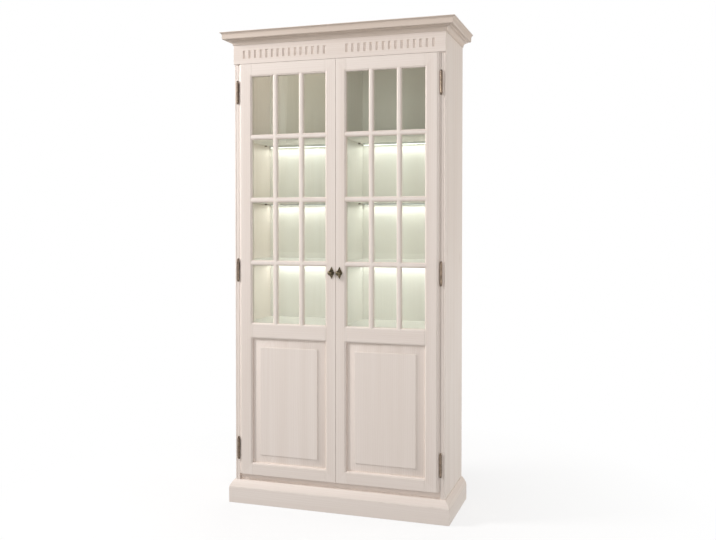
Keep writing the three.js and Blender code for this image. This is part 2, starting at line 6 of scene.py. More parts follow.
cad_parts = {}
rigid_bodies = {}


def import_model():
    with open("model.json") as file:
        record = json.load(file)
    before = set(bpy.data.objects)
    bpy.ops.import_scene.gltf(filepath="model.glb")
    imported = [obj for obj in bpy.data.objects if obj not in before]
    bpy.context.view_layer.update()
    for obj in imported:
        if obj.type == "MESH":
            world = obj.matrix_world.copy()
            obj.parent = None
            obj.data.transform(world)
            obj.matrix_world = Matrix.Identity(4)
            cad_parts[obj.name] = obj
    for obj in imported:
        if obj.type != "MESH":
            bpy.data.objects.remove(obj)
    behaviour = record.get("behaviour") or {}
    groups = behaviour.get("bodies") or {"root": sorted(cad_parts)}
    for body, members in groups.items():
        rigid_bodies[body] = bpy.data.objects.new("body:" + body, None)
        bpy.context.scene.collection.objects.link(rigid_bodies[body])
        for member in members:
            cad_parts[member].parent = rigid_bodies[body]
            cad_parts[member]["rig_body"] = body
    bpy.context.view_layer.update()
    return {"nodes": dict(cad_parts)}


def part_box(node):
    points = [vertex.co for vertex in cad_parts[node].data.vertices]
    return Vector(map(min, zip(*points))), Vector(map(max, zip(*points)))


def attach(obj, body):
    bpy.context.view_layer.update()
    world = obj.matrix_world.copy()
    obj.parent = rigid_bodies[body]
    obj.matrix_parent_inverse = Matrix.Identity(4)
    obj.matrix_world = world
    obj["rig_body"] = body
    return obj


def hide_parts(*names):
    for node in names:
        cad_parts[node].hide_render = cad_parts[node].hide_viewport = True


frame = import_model()
mm = 0.001  # in the metres of the frame
sides = {"left": -1, "right": 1}


# camera and studio

cameraSetup = {
    "place": (1.201, -3.537, 1.226),
    "turn": 18.03,  # degrees to the left of straight back
    "tilt": -1.27,
    "lens": 42.9,
    "shift": (0.0, -0.0392),
}


def addCamera():
    camera = bpy.data.objects.new("camera", bpy.data.cameras.new("camera"))
    bpy.context.scene.collection.objects.link(camera)
    camera.location = cameraSetup["place"]
    camera.rotation_euler = (
        math.radians(90 + cameraSetup["tilt"]),
        0,
        math.radians(cameraSetup["turn"]),
    )
    camera.data.lens = cameraSetup["lens"]
    camera.data.shift_x, camera.data.shift_y = cameraSetup["shift"]
    bpy.context.scene.camera = camera


studio = {
    "lamps": {  # place, target, width, watts, colour
        "keyLamp": ((-3.9, -1.8, 3.1), (0, 0, 1.6), 1.1, 183, (1.0, 0.98, 0.98)),
        "fillLamp": ((1.4, -3.8, 1.7), (0, 0, 1.15), 2.4, 47, (1.0, 0.965, 0.955)),
        "sideLamp": ((3.2, 0.9, 1.5), (0, 0, 1.1), 1.6, 37, (1.0, 0.955, 0.90)),
        "rearLamp": ((-0.6, 4.2, 2.8), (0, 0, 1.15), 2.6, 45, (1.0, 0.98, 0.96)),
        "cardLamp": ((-2.6, -3.9, 2.75), (-0.3, 0, 1.8), 1.5, 7, (1.0, 0.98, 0.94)),
    },
    "skyColour": (1.0, 0.98, 0.965, 1),
    "skyAbove": 0.38,
    "skyBelow": 0.29,
    "skySeen": 1.0,
    "horizonBlend": 0.35,
    "floorWidth": 60,
    "floorDrop": 0.5 * mm,
}


def addStudio():
    for name, (place, target, width, watts, colour) in studio["lamps"].items():
        light = bpy.data.lights.new(name, "AREA")
        light.shape = "SQUARE"
        light.size = width
        light.energy = watts
        light.color = colour
        lamp = bpy.data.objects.new(name, light)
        lamp.location = place
        aim = Vector(target) - Vector(place)
        lamp.rotation_euler = aim.to_track_quat("-Z", "Y").to_euler()
        lamp.visible_camera = False
        bpy.context.scene.collection.objects.link(lamp)

    world = bpy.data.worlds.new("paleSky")
    bpy.context.scene.world = world
    world.use_nodes = True
    tree = world.node_tree
    tree.nodes.clear()
    add = nodeAdder(tree)
    direction = add("TexCoord", {}, output="Generated")
    upwards = add("SeparateXYZ", {0: direction}, output="Z")
    blend = studio["horizonBlend"]
    skyLight = remap(add, upwards, -blend, blend, studio["skyBelow"], studio["skyAbove"])
    lightSky = add("Background", {"Color": studio["skyColour"], "Strength": skyLight})
    seenSky = add("Background", {"Color": (1, 1, 1, 1), "Strength": studio["skySeen"]})
    seen = add("LightPath", {}, output="Is Camera Ray")
    shader = add("MixShader", {0: seen, 1: lightSky, 2: seenSky})
    add("OutputWorld", {"Surface": shader}, output=None)

    nothingSelected()
    floorPlace = (0, 0, -studio["floorDrop"])
    bpy.ops.mesh.primitive_plane_add(size=studio["floorWidth"], location=floorPlace)
    floor = bpy.context.object
    floor.name = "paleFloor"
    floor.data.materials.append(floorPaint())
    floor.visible_diffuse = False  # the sky lights the cabinet from below instead
    bpy.context.scene.view_settings.view_transform = "Standard"


# small tools for nodes and meshes

def nodeAdder(tree):
    def add(kind, inputs, output=0, **settings):
        node = tree.nodes.new("ShaderNode" + kind)
        for setting, value in settings.items():
            setattr(node, setting, value)
        for socket, value in inputs.items():
            if isinstance(value, bpy.types.NodeSocket):
                tree.links.new(value, node.inputs[socket])
            else:
                node.inputs[socket].default_value = value
        return node if output is None else node.outputs[output]

    return add


def emptyMaterial(name):
    material = bpy.data.materials.new(name)
    material.use_nodes = True
    material.node_tree.nodes.clear()
    return material, nodeAdder(material.node_tree)


def mixColours(add, factor, first, second, blend="MIX"):
    inputs = {0: factor, 6: first, 7: second}
    return add("Mix", inputs, output=2, data_type="RGBA", blend_type=blend)


def remap(add, value, lowIn, highIn, lowOut, highOut):
    inputs = {0: value, 1: lowIn, 2: highIn, 3: lowOut, 4: highOut}
    return add("MapRange", inputs)


def maths(add, operation, first, second):
    return add("Math", {0: first, 1: second}, operation=operation)


def nothingSelected():
    if bpy.context.object and bpy.context.object.mode != "OBJECT":
        bpy.ops.object.mode_set(mode="OBJECT")
    bpy.ops.object.select_all(action="DESELECT")


def editOnly(piece):
    nothingSelected()
    piece.select_set(True)
    bpy.context.view_layer.objects.active = piece
    bpy.ops.object.mode_set(mode="EDIT")


def selectWhere(piece, kind, wanted):
    # wanted gets a face's middle and normal, an edge's middle and run, or a vertex's place and normal
    bpy.ops.mesh.select_mode(type=kind)
    bpy.ops.mesh.select_all(action="DESELECT")
    bpy.ops.object.mode_set(mode="OBJECT")
    mesh = piece.data
    places = [vertex.co for vertex in mesh.vertices]
    if kind == "FACE":
        for face in mesh.polygons:
            face.select = bool(wanted(face.center, face.normal))
    elif kind == "EDGE":
        for edge in mesh.edges:
            first, second = (places[i] for i in edge.vertices)
            edge.select = bool(wanted((first + second) / 2, second - first))
    else:
        for vertex in mesh.vertices:
            vertex.select = bool(wanted(vertex.co, vertex.normal))
    bpy.ops.object.mode_set(mode="EDIT")


def applyAll(piece):
    nothingSelected()
    piece.select_set(True)
    bpy.context.view_layer.objects.active = piece
    for modifier in list(piece.modifiers):
        bpy.ops.object.modifier_apply(modifier=modifier.name)


def roundEdges(piece, width, segments=2, fromAngle=30):
    bevel = piece.modifiers.new("roundedEdges", "BEVEL")
    bevel.width = width
    bevel.segments = segments
    bevel.limit_method = "ANGLE"
    bevel.angle_limit = math.radians(fromAngle)
    bevel.use_clamp_overlap = False
    bevel.miter_outer = "MITER_SHARP"
    applyAll(piece)


def smoothShading(piece, upTo=38):
    nothingSelected()
    piece.select_set(True)
    bpy.context.view_layer.objects.active = piece
    bpy.ops.object.shade_smooth_by_angle(angle=math.radians(upTo))
    weighted = piece.modifiers.new("flatFacesStayFlat", "WEIGHTED_NORMAL")
    weighted.keep_sharp = True
    weighted.weight = 90
    applyAll(piece)


def placeOnBody(piece, body, slot, material=None):
    if material:
        piece.data.materials.clear()
        piece.data.materials.append(material)
    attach(piece, body)


def blockBetween(name, low, high):
    # a box from one corner to the other, the start of most new pieces
    nothingSelected()
    low, high = Vector(low), Vector(high)
    bpy.ops.mesh.primitive_cube_add(size=1, location=(low + high) / 2)
    piece = bpy.context.object
    piece.name = name
    piece.scale = high - low
    bpy.ops.object.transform_apply(location=True, rotation=True, scale=True)
    return piece


def turnedPiece(name, profile, steps):
    # profile runs up the Z axis as radius and height, and starts and ends on the axis
    points = [Vector((radius, 0, height)) for radius, height in profile]
    nothingSelected()
    bpy.ops.mesh.primitive_plane_add(size=mm, location=points[0])
    piece = bpy.context.object
    piece.name = name
    bpy.ops.object.transform_apply(location=True, rotation=True, scale=True)
    editOnly(piece)
    bpy.ops.mesh.select_mode(type="VERT")
    bpy.ops.mesh.select_all(action="SELECT")
    bpy.ops.mesh.merge(type="CENTER")
    for last, point in zip(points, points[1:]):
        bpy.ops.mesh.extrude_region_move(TRANSFORM_OT_translate={"value": point - last})
    bpy.ops.mesh.select_all(action="SELECT")
    bpy.ops.mesh.spin(steps=steps, angle=math.tau, center=(0, 0, 0), axis=(0, 0, 1))
    bpy.ops.mesh.select_all(action="SELECT")
    bpy.ops.mesh.remove_doubles(threshold=0.002 * mm)
    bpy.ops.mesh.normals_make_consistent(inside=False)
    nothingSelected()
    return piece


def joinedPieces(name, pieces):
    nothingSelected()
    for piece in pieces:
        piece.select_set(True)
    bpy.context.view_layer.objects.active = pieces[0]
    if len(pieces) > 1:
        bpy.ops.object.join()
    pieces[0].name = name
    return pieces[0]


def repeated(name, model, placings):
    # one piece made of copies of a model, each turned and moved by its matrix
    copies = []
    for placing in placings:
        copy = bpy.data.objects.new(name, model.data.copy())
        copy.data.transform(placing)
        bpy.context.scene.collection.objects.link(copy)
        copies.append(copy)
    return joinedPieces(name, copies)


def discard(*pieces):
    for piece in pieces:
        bpy.data.objects.remove(piece, do_unlink=True)


def middleOf(low, high):
    return (low + high) / 2


# finishes

# each set of tones ends in a lighter edge tone, which sharp convex edges take on as a painted
# highlight
whitewashLook = {
    "outside": {
        "wash": (0.835, 0.752, 0.69, 1),
        "grain": (0.66, 0.55, 0.47, 1),
        "knot": (0.50, 0.37, 0.28, 1),
        "edge": (0.90, 0.83, 0.77, 1),
    },
    # the cornice's tones are a darker copy of the outside ones: painted shade over the whole cornice
    "cornice": {
        "wash": (0.70, 0.60, 0.52, 1),
        "grain": (0.52, 0.42, 0.34, 1),
        "knot": (0.42, 0.31, 0.23, 1),
        "edge": (0.78, 0.69, 0.61, 1),
    },
    "inside": {
        "wash": (0.80, 0.78, 0.735, 1),
        "grain": (0.68, 0.64, 0.57, 1),
        "knot": (0.55, 0.48, 0.39, 1),
        "edge": (0.86, 0.84, 0.80, 1),
    },
    "ringSpacing": 9 * mm,
    "waveLength": 0.314,  # metres from ring to ring in the wave texture at scale 1
    "streakSpacing": 42 * mm,
    "poreSpacing": 1.6 * mm,
    "cloudSpacing": 160 * mm,
    "knotSpacing": 330 * mm,
    "knotBends": 14.0,  # to a metre, in what bends the knots out of round
    "streakStrength": 0.30,
    "ringStrength": 0.30,
    "poreStrength": 0.24,
    "knotStrength": 0.34,
    # how far sharp convex edges lighten towards the edge tone: a painted highlight
    "edgeHighlightStrength": 0.55,
    # how far concave hollows darken towards the grain tone: painted shade
    "hollowShadeStrength": 0.30,
    "bumpHeight": 0.35 * mm,
    "bumpStrength": 0.22,
}


def drawnOut(add, upright, along, start=(0, 0, 0)):
    # the same space with everything in it drawn out along the grain
    return add("Mapping", {"Vector": upright, "Scale": (1, 1, along), "Location": start})


def noise(add, space, spacing, detail, roughness):
    inputs = {"Vector": space, "Scale": 1 / spacing, "Detail": detail, "Roughness": roughness}
    return add("TexNoise", inputs)


def whitewash(name, tones, grainAlong):
    turns = {
        "x": (0, math.radians(90), 0),
        "y": (math.radians(90), 0, 0),
        "z": (0, 0, 0),
    }
    look = whitewashLook
    material, add = emptyMaterial(name)
    place = add("TexCoord", {}, output="Object")
    upright = add("Mapping", {"Vector": place, "Rotation": turns[grainAlong]})

    # growth rings, drawn out along the grain
    rings = add(
        "TexWave",
        {
            "Vector": drawnOut(add, upright, 0.045, (0.31, 0.17, 0)),
            "Scale": look["waveLength"] / look["ringSpacing"],
            "Distortion": 12.0,
            "Detail": 3.0,
            "Detail Scale": 0.4,
            "Detail Roughness": 0.6,
        },
        output="Fac",
        wave_type="RINGS",
        rings_direction="Z",
        wave_profile="SAW",
    )
    ringLines = remap(add, rings, 0.45, 1.0, 0.0, 1.0)

    # broad streaks of a slightly different tone
    broad = drawnOut(add, upright, 0.03, (0.7, 0.2, 0.1))
    streaks = noise(add, broad, look["streakSpacing"], 3.0, 0.55)
    streakTone = remap(add, streaks, 0.38, 0.68, 0.0, 1.0)

    # fine pores
    pores = noise(add, drawnOut(add, upright, 0.02), look["poreSpacing"], 4.0, 0.65)
    poreLines = remap(add, pores, 0.5, 0.72, 0.0, 1.0)

    # cloudy wash, thicker in some places than in others
    clouds = noise(add, drawnOut(add, upright, 0.35), look["cloudSpacing"], 5.0, 0.6)
    thinWash = remap(add, clouds, 0.35, 0.7, 0.35, 1.0)

    # a few small knots, longer along the grain
    knotSpace = drawnOut(add, upright, 0.55, (0.13, 0.4, 0.22))
    bending = {"Vector": knotSpace, "Scale": look["knotBends"], "Detail": 2.0}
    bent = add("TexNoise", bending, output="Color")
    knotPlace = mixColours(add, 0.035, knotSpace, bent, "LINEAR_LIGHT")
    knots = add(
        "TexVoronoi",
        {"Vector": knotPlace, "Scale": 1 / look["knotSpacing"], "Randomness": 1.0},
        output="Distance",
    )
    knotDark = remap(add, knots, 0.015, 0.055, 1.0, 0.0)

    # colours
    wornRings = maths(add, "MULTIPLY", ringLines, thinWash)
    wornPores = maths(add, "MULTIPLY", poreLines, thinWash)
    colour = tones["wash"]
    for mark, strength, tone in (
        (streakTone, look["streakStrength"], "grain"),
        (wornRings, look["ringStrength"], "grain"),
        (wornPores, look["poreStrength"], "grain"),
        (knotDark, look["knotStrength"], "knot"),
    ):
        colour = mixColours(add, maths(add, "MULTIPLY", mark, strength), colour, tones[tone])
    pointed = add("NewGeometry", {}, output="Pointiness")
    # sharp convex edges lighten towards the edge tone: a painted highlight on the wash
    rubbedAndLitEdge = remap(add, pointed, 0.53, 0.60, 0.0, look["edgeHighlightStrength"])
    colour = mixColours(add, rubbedAndLitEdge, colour, tones["edge"])
    # concave hollows and creases darken towards the grain tone: painted shade
    hollowShade = remap(add, pointed, 0.47, 0.40, 0.0, look["hollowShadeStrength"])
    colour = mixColours(add, hollowShade, colour, tones["grain"])

    # gloss and relief
    roughness = remap(add, clouds, 0.3, 0.7, 0.40, 0.56)
    roughness = maths(add, "ADD", roughness, maths(add, "MULTIPLY", poreLines, 0.08))
    height = maths(add, "ADD", maths(add, "MULTIPLY", ringLines, 0.35), poreLines)
    height = maths(add, "ADD", height, maths(add, "MULTIPLY", knotDark, 0.8))
    bump = {"Strength": look["bumpStrength"], "Distance": look["bumpHeight"], "Height": height}
    relief = add("Bump", bump, invert=True)  # the grain's lines lie below the wash
    shader = add(
        "BsdfPrincipled",
        {
            "Base Color": colour,
            "Roughness": roughness,
            "Normal": relief,
            "Specular IOR Level": 0.42,
            "Coat Weight": 0.08,
            "Coat Roughness": 0.35,
        },
    )
    add("OutputMaterial", {"Surface": shader}, output=None)
    return material


brassLook = {
    "antiqueBrass": {
        "worn": (0.40, 0.31, 0.23, 1),
        "dark": (0.12, 0.09, 0.07, 1),
        "darkness": 0.68,
    },
    "darkBrass": {
        "worn": (0.36, 0.29, 0.17, 1),
        "dark": (0.06, 0.05, 0.035, 1),
        "darkness": 0.72,
    },
    "blotchSpacing": 9 * mm,
}


def agedBrass(name):
    look = brassLook[name]
    material, add = emptyMaterial(name)
    place = add("TexCoord", {}, output="Object")
    blotches = noise(add, place, brassLook["blotchSpacing"], 6.0, 0.68)
    pits = add("TexNoise", {"Vector": place, "Scale": 1400.0, "Detail": 3.0})
    tarnish = remap(add, blotches, 0.38, 0.62, look["darkness"] - 0.25, look["darkness"] + 0.28)
    pointed = add("NewGeometry", {}, output="Pointiness")
    # on the brass, high edges rubbed bright through the tarnish: real wear
    rubbedAndLitEdge = remap(add, pointed, 0.56, 0.66, 0.0, 0.6)
    colour = mixColours(add, tarnish, look["worn"], look["dark"])
    colour = mixColours(add, rubbedAndLitEdge, colour, look["worn"])
    roughness = remap(add, blotches, 0.3, 0.7, 0.28, 0.52)
    relief = add("Bump", {"Strength": 0.35, "Distance": 0.08 * mm, "Height": pits})
    shader = add(
        "BsdfPrincipled",
        {"Base Color": colour, "Roughness": roughness, "Normal": relief, "Metallic": 1.0},
    )
    add("OutputMaterial", {"Surface": shader}, output=None)
    return material


def satinAluminium():
    material, add = emptyMaterial("satinAluminium")
    place = add("TexCoord", {}, output="Object")
    drawn = add("Mapping", {"Vector": place, "Scale": (0.01, 1, 1)})
    lines = add("TexNoise", {"Vector": drawn, "Scale": 2600.0, "Detail": 3.0})
    colour = mixColours(add, lines, (0.62, 0.63, 0.64, 1), (0.80, 0.81, 0.82, 1))
    roughness = remap(add, lines, 0.3, 0.7, 0.26, 0.42)
    relief = add("Bump", {"Strength": 0.12, "Distance": 0.05 * mm, "Height": lines})
    shader = add(
        "BsdfPrincipled",
        {"Base Color": colour, "Roughness": roughness, "Normal": relief, "Metallic": 1.0},
    )
    add("OutputMaterial", {"Surface": shader}, output=None)
    return material


def clearGlass():
    material, add = emptyMaterial("clearGlass")
    place = add("TexCoord", {}, output="Object")
    waves = add("TexNoise", {"Vector": place, "Scale": 5.0, "Detail": 1.0})
    smears = add("TexNoise", {"Vector": place, "Scale": 11.0, "Detail": 4.0})
    relief = add("Bump", {"Strength": 0.05, "Distance": 0.4 * mm, "Height": waves})
    roughness = remap(add, smears, 0.4, 0.7, 0.0, 0.05)
    tint = mixColours(add, smears, (0.955, 0.985, 0.955, 1), (0.97, 0.99, 0.965, 1))
    through = add("BsdfTransparent", {"Color": tint})
    gloss = add("BsdfGlossy", {"Color": (1, 1, 1, 1), "Roughness": roughness, "Normal": relief})
    edgeOn = add("LayerWeight", {"Blend": 0.5, "Normal": relief}, output="Facing")
    steep = maths(add, "POWER", edgeOn, 5.0)
    mirrored = remap(add, steep, 0.0, 1.0, 0.04, 1.0)  # the same share on both faces of the pane
    shader = add("MixShader", {0: mirrored, 1: through, 2: gloss})
    add("OutputMaterial", {"Surface": shader}, output=None)
    return material


def mouldedPlastic():
    material, add = emptyMaterial("mouldedPlastic")
    place = add("TexCoord", {}, output="Object")
    grain = add("TexNoise", {"Vector": place, "Scale": 900.0, "Detail": 3.0})
    shade = add("TexNoise", {"Vector": place, "Scale": 40.0, "Detail": 2.0})
    colour = mixColours(add, shade, (0.76, 0.75, 0.72, 1), (0.84, 0.83, 0.80, 1))
    roughness = remap(add, grain, 0.3, 0.7, 0.42, 0.55)
    relief = add("Bump", {"Strength": 0.15, "Distance": 0.06 * mm, "Height": grain})
    shader = add("BsdfPrincipled", {"Base Color": colour, "Roughness": roughness, "Normal": relief})
    add("OutputMaterial", {"Surface": shader}, output=None)
    return material


def litDiffuser():
    material, add = emptyMaterial("litDiffuser")
    place = add("TexCoord", {}, output="Object")
    frost = add("TexNoise", {"Vector": place, "Scale": 700.0, "Detail": 2.0})
    colour = mixColours(add, frost, (0.86, 0.88, 0.85, 1), (0.93, 0.95, 0.92, 1))
    roughness = remap(add, frost, 0.3, 0.7, 0.35, 0.5)
    relief = add("Bump", {"Strength": 0.1, "Distance": 0.05 * mm, "Height": frost})
    shader = add(
        "BsdfPrincipled",
        {
            "Base Color": colour,
            "Roughness": roughness,
            "Normal": relief,
            "Emission Color": (0.97, 1.0, 0.94, 1),
            "Emission Strength": 6.0,
        },
    )
    add("OutputMaterial", {"Surface": shader}, output=None)
    return material


def floorPaint():
    material, add = emptyMaterial("floorPaint")
    place = add("TexCoord", {}, output="Object")
    patches = add("TexNoise", {"Vector": place, "Scale": 1.5, "Detail": 3.0})
    colour = mixColours(add, patches, (0.90, 0.90, 0.90, 1), (0.93, 0.93, 0.93, 1))
    lit = add("BsdfPrincipled", {"Base Color": colour, "Roughness": 0.9})
    glow = add("Emission", {"Color": (1, 1, 1, 1), "Strength": 1.0})
    distance = add("VectorMath", {0: place}, output="Value", operation="LENGTH")
    faded = remap(add, distance, 0.6, 1.6, 0.72, 1.0)  # the floor runs out into the pale backdrop
    shader = add("MixShader", {0: faded, 1: lit, 2: glow})
    add("OutputMaterial", {"Surface": shader}, output=None)
    return material


addCamera()
addStudio()
print("camera and studio ready")

finish = {
    "pineUpright": whitewash("pineUpright", whitewashLook["outside"], "z"),
    "pineAcross": whitewash("pineAcross", whitewashLook["outside"], "x"),
    "pineDeep": whitewash("pineDeep", whitewashLook["outside"], "y"),
    # the two cornice finishes use the darker tones: painted shade
    "shadedCorniceAcross": whitewash("shadedCorniceAcross", whitewashLook["cornice"], "x"),
    "shadedCorniceDeep": whitewash("shadedCorniceDeep", whitewashLook["cornice"], "y"),
    "insideUpright": whitewash("insideUpright", whitewashLook["inside"], "z"),
    "insideAcross": whitewash("insideAcross", whitewashLook["inside"], "x"),
    "antiqueBrass": agedBrass("antiqueBrass"),
    "darkBrass": agedBrass("darkBrass"),
    "aluminium": satinAluminium(),
    "glass": clearGlass(),
    "plastic": mouldedPlastic(),
    "diffuser": litDiffuser(),
}
print("finishes ready")


# woodwork: the frame's boards with their sharp edges eased

woodwork = {  # what a node's name starts with: finish, slot, width of the eased edge
    "side_panel": ("pineUpright", "white_pine", 1.0 * mm),
    "top_board": ("pineAcross", "white_pine", 0.8 * mm),
    "bottom_board": ("pineAcross", "white_pine", 0.8 * mm),
    "frieze_board": ("pineAcross", "white_pine", 0.6 * mm),
    # the cornice pieces take the darker, painted-shade finishes
    "cornice_front": ("shadedCorniceAcross", "white_pine", 0.8 * mm),
    "cornice_": ("shadedCorniceDeep", "white_pine", 0.8 * mm),
    "plinth_front": ("pineAcross", "white_pine", 0.7 * mm),
    "plinth_": ("pineDeep", "white_pine", 0.7 * mm),
    "centre_partition": ("insideUpright", "white_inside", 1.0 * mm),
    "middle_floor": ("insideAcross", "white_inside", 1.0 * mm),
    "shelf_": ("insideAcross", "white_inside", 1.4 * mm),
    "base_shelf": ("insideAcross", "white_inside", 1.4 * mm),
}
joinery = {  # what the name of a door's node ends with
    "_stile": ("pineUpright", "white_pine", 0.45 * mm),
    "_rail": ("pineAcross", "white_pine", 0.45 * mm),
    "_glazing_bars": ("pineUpright", "white_pine", 0.25 * mm),
    "_lower_panel": ("pineUpright", "white_pine", 0.8 * mm),
}


def easedCopy(nodeName, finishName, slot, width):
    node = frame["nodes"][nodeName]
    piece = bpy.data.objects.new(nodeName + "_eased", node.data.copy())
    bpy.context.scene.collection.objects.link(piece)
    editOnly(piece)
    bpy.ops.mesh.select_all(action="SELECT")
    bpy.ops.mesh.remove_doubles(threshold=0.01 * mm)
    if not nodeName.endswith(("frieze_board", "glazing_bars")):  # faces with holes stay triangles
        bpy.ops.mesh.dissolve_limited(angle_limit=math.radians(0.5))
    nothingSelected()
    roundEdges(piece, width)
    smoothShading(piece)
    placeOnBody(piece, node["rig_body"], slot, finish[finishName])
    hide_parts(nodeName)
    return piece


for nodeName in sorted(frame["nodes"]):
    if nodeName.startswith("door_"):
        rules = [rule for ending, rule in joinery.items() if nodeName.endswith(ending)]
    else:
        rules = [rule for start, rule in woodwork.items() if nodeName.startswith(start)]
    if rules:
        easedCopy(nodeName, *rules[0])
print("woodwork eased")


# glass, light bars and catch keep their own shapes, and the hinges get eased edges

keptNodes = {  # part of a node's name: finish
    "_glass": "glass",
    "light_bar_": "aluminium",
    "magnetic_catch": "plastic",
}

for nodeName, node in frame["nodes"].items():
    for part, finishName in keptNodes.items():
        if part in nodeName:
            node.data.materials.clear()
            node.data.materials.append(finish[finishName])

for nodeName in sorted(frame["nodes"]):
    if nodeName.startswith("hinge_"):
        easedCopy(nodeName, "antiqueBrass", "antique_brass", 0.25 * mm)
print("hinges eased")


# knobs on diamond plates

knobShape = {
    "steps": 32,
    "footRadius": 7.0 * mm,
    "neckRadius": 4.2 * mm,
    "ringRadius": 6.0 * mm,
    "ballRadius": 11.0 * mm,
    "ballFlatness": 0.72,
    "ballStart": -62,  # degrees below its middle, where it leaves the neck
    "ballSteps": 12,
    "reach": 27.0 * mm,
    "plateWidth": 26.0 * mm,
    "plateHeight": 52.0 * mm,
    "plateThickness": 2.5 * mm,
    "plateRim": 2.2 * mm,
    "dishSlope": 0.9 * mm,
    "dishDepth": 0.7 * mm,
    "plateEdge": 0.5 * mm,
    "pinRadius": 1.8 * mm,
    "pinInset": 8.5 * mm,
    "pinSunk": 0.9 * mm,
}


def knobProfile():
    shape = knobShape
    foot, neck = shape["footRadius"], shape["neckRadius"]
    ring, ball = shape["ringRadius"], shape["ballRadius"]
    base = shape["plateThickness"] - 0.3 * mm
    ballHeight = shape["ballFlatness"] * ball
    middle = shape["reach"] - ballHeight
    profile = [(0, base), (foot, base), (foot, base + 1.2 * mm)]
    profile += [(foot - 1.0 * mm, base + 2.0 * mm), (neck + 0.6 * mm, base + 3.2 * mm)]
    profile += [(neck, base + 6.0 * mm), (ring - 0.8 * mm, base + 7.2 * mm)]
    profile += [(ring, base + 8.2 * mm), (ring - 0.8 * mm, base + 9.2 * mm)]
    profile += [(neck + 0.4 * mm, base + 9.8 * mm)]
    lowest, steps = shape["ballStart"], shape["ballSteps"]
    for step in range(steps + 1):
        angle = math.radians(lowest + step * (90 - lowest) / steps)
        out = ball * math.cos(angle)
        profile.append((max(out, 0), middle + ballHeight * math.sin(angle)))
    profile[-1] = (0, shape["reach"])
    return profile


def knobModel():
    shape = knobShape
    knob = turnedPiece("knobModel", knobProfile(), shape["steps"])
    smoothShading(knob, 50)
    return knob


def plateModel():
    # a diamond with a sloping rim and a shallow dish, held by two round pins
    shape = knobShape
    nothingSelected()
    thickness = shape["plateThickness"]
    bpy.ops.mesh.primitive_cylinder_add(
        vertices=4, radius=0.5, depth=thickness, location=(0, 0, thickness / 2)
    )
    plate = bpy.context.object
    plate.scale = (shape["plateWidth"], shape["plateHeight"], 1)
    bpy.ops.object.transform_apply(location=True, rotation=True, scale=True)
    editOnly(plate)
    selectWhere(plate, "FACE", lambda middle, normal: normal.z > 0.9)
    bpy.ops.mesh.inset(thickness=shape["plateRim"], depth=0)
    bpy.ops.mesh.inset(thickness=shape["dishSlope"], depth=-shape["dishDepth"])
    nothingSelected()
    roundEdges(plate, shape["plateEdge"], 2, 25)
    smoothShading(plate)
    domed = [(0, 0), (shape["pinRadius"], 0), (shape["pinRadius"], 0.5 * mm)]
    domed += [(1.2 * mm, 1.1 * mm), (0.6 * mm, 1.35 * mm), (0, 1.4 * mm)]
    pin = turnedPiece("pinModel", domed, 16)
    smoothShading(pin, 50)
    height = shape["plateHeight"] / 2 - shape["pinInset"]
    pinZ = thickness - shape["pinSunk"]
    pins = repeated("pins", pin, [Matrix.Translation((0, up, pinZ)) for up in (height, -height)])
    discard(pin)
    return joinedPieces("plateModel", [plate, pins])


faceForward = Matrix.Rotation(math.radians(90), 4, "X")  # +Z of a model turns to -Y
knob = knobModel()
plate = plateModel()
for side in sides:
    nodeName = f"door_{side}_knob"
    low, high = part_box(nodeName)
    place = Matrix.Translation(((low.x + high.x) / 2, high.y, (low.z + high.z) / 2))
    for model, word in ((knob, "turned"), (plate, "plate")):
        piece = repeated(f"{nodeName}_{word}", model, [place @ faceForward])
        placeOnBody(piece, "door_" + side, "dark_brass", finish["darkBrass"])
        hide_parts(nodeName)
discard(knob, plate)
print("knobs ready")


# light bars: a frosted strip in each channel, a cap on each end, and its lamp

lightBar = {
    "wall": 2.5 * mm,
    "stripThickness": 2.6 * mm,
    "stripGap": 0.3 * mm,
    "diffuserRound": 1.8 * mm,
    "capThickness": 2.0 * mm,
    "capEdge": 0.5 * mm,
    "lampGap": 0.5 * mm,
    "stripWatts": 0.10,
    "spreadWatts": 0.26,
    "spreadDepth": 250 * mm,
    "spreadDrop": 6 * mm,
    "colour": (0.99, 1.0, 1.0),
    "strayWatts": {"left": 0.29, "right": 0.14},
    "strayColour": (1.0, 0.93, 0.82),
}


def addLamp(name, place, size, watts, colour=lightBar["colour"]):
    # a lamp inside the cabinet, shining down
    light = bpy.data.lights.new(name, "AREA")
    light.shape = "RECTANGLE"
    light.size, light.size_y = size
    light.energy = watts
    light.color = colour
    lamp = bpy.data.objects.new(name, light)
    lamp.location = place
    lamp.visible_camera = False
    lamp.visible_glossy = False
    bpy.context.scene.collection.objects.link(lamp)


